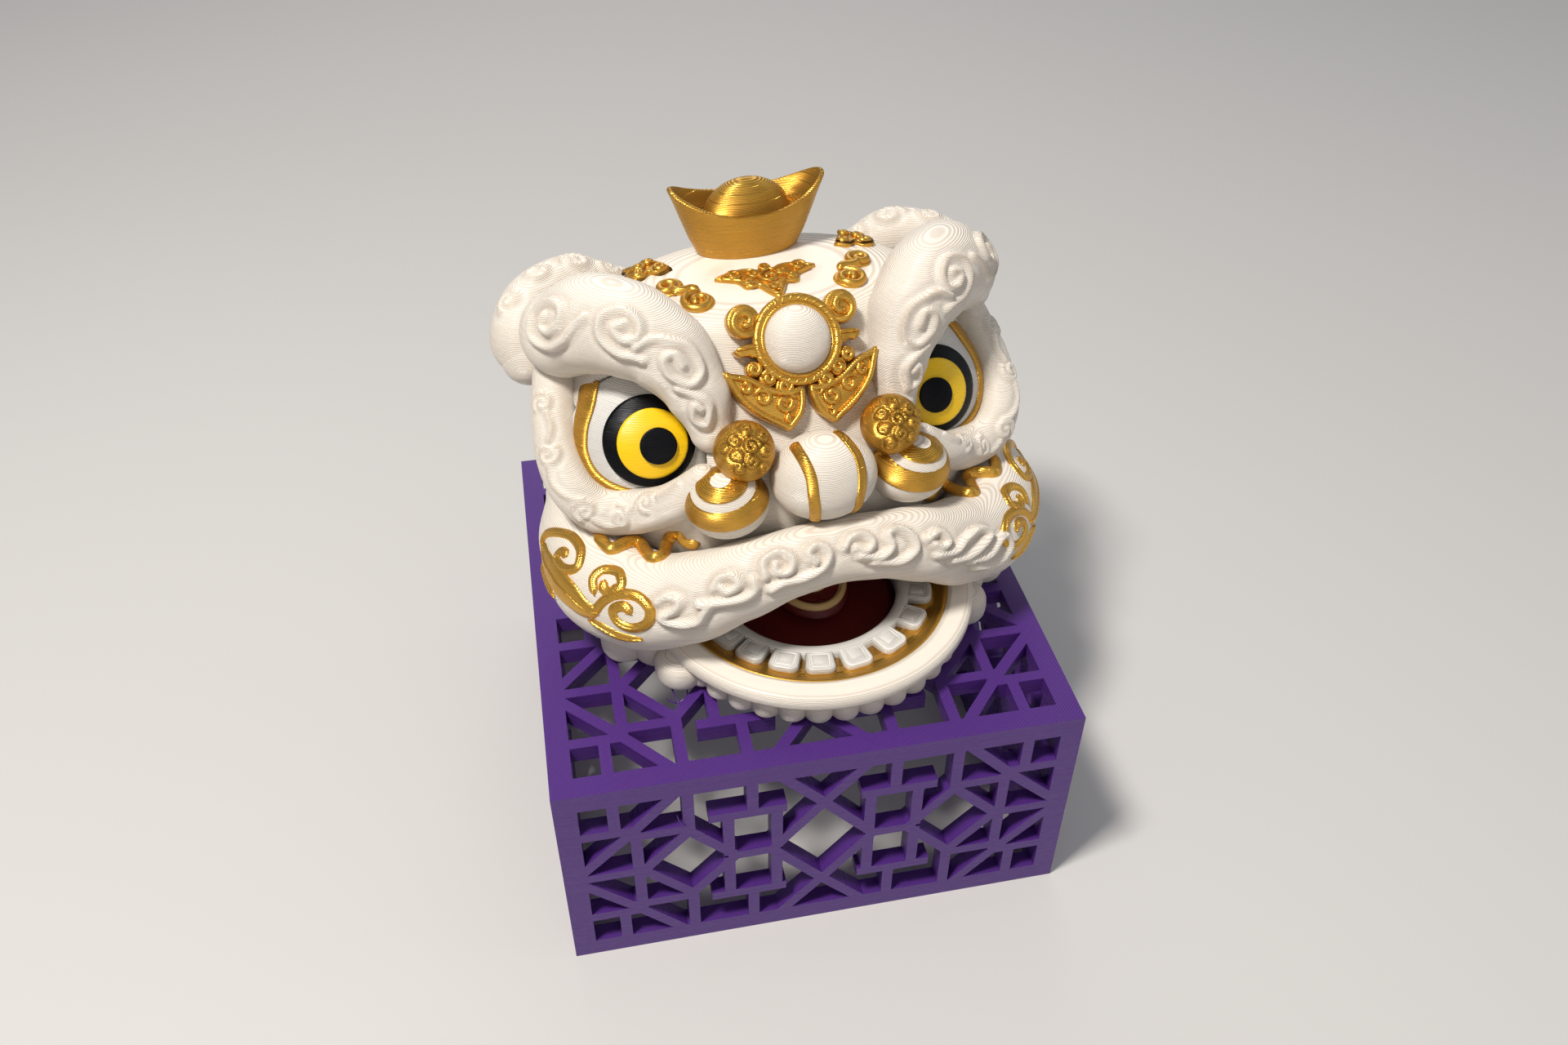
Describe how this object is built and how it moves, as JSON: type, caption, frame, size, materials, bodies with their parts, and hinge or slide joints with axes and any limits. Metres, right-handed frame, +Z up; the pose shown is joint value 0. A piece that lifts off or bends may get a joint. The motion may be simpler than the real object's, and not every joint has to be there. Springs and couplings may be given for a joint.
{
  "type": "lion dance head figurine on fretwork box",
  "caption": "Small printed lion dance head with horned brows, round eyes, a gold ingot on its crown and an open jaw, standing on a pierced box.",
  "frame": {"origin": "under the middle of the whole object's box, on the surface that it stands on", "axes": "+Z up, -Y to the front of the pierced box, +X to the right of the box seen from the front"},
  "size_m": [0.1058, 0.1, 0.1257],
  "materials": {
    "ivory_print": "warm ivory printed plastic with fine layer lines",
    "gold_silk_print": "silk gold printed plastic with a metallic sheen",
    "purple_print": "satin purple printed plastic with fine layer lines",
    "dark_red": "dark red printed plastic",
    "black": "black printed plastic",
    "yellow": "bright yellow printed plastic",
    "white_print": "white printed plastic"
  },
  "bodies": {
    "root": {"skull": "ivory_print", "upper_lip": "ivory_print", "ruffle": "ivory_print", "brow_left": "ivory_print", "ear_left": "ivory_print", "socket_left": "ivory_print", "eyeball_left": "white_print", "eye_disc_left": "black", "iris_left": "yellow", "pupil_left": "black", "eye_liner_left": "gold_silk_print", "nostril_ball_left": "gold_silk_print", "cheek_ball_left": "ivory_print", "nose_stripe_left": "gold_silk_print", "cheek_scroll_left": "gold_silk_print", "zigzag_left": "gold_silk_print", "brow_right": "ivory_print", "ear_right": "ivory_print", "socket_right": "ivory_print", "eyeball_right": "white_print", "eye_disc_right": "black", "iris_right": "yellow", "pupil_right": "black", "eye_liner_right": "gold_silk_print", "nostril_ball_right": "gold_silk_print", "cheek_ball_right": "ivory_print", "nose_stripe_right": "gold_silk_print", "cheek_scroll_right": "gold_silk_print", "zigzag_right": "gold_silk_print", "nose": "ivory_print", "mirror_ball": "white_print", "mirror_ring": "gold_silk_print", "wing_left": "gold_silk_print", "wing_right": "gold_silk_print", "flower_centre": "gold_silk_print", "flower_left": "gold_silk_print", "scroll_left": "gold_silk_print", "flower_right": "gold_silk_print", "scroll_right": "gold_silk_print", "ingot": "gold_silk_print", "ingot_dome": "gold_silk_print", "jaw": "ivory_print", "gum_band": "gold_silk_print", "teeth": "white_print", "mouth_floor": "dark_red", "mouth_lining": "dark_red", "tongue": "dark_red", "tongue_ring": "gold_silk_print", "stand": "purple_print"}
  },
  "joints": []
}
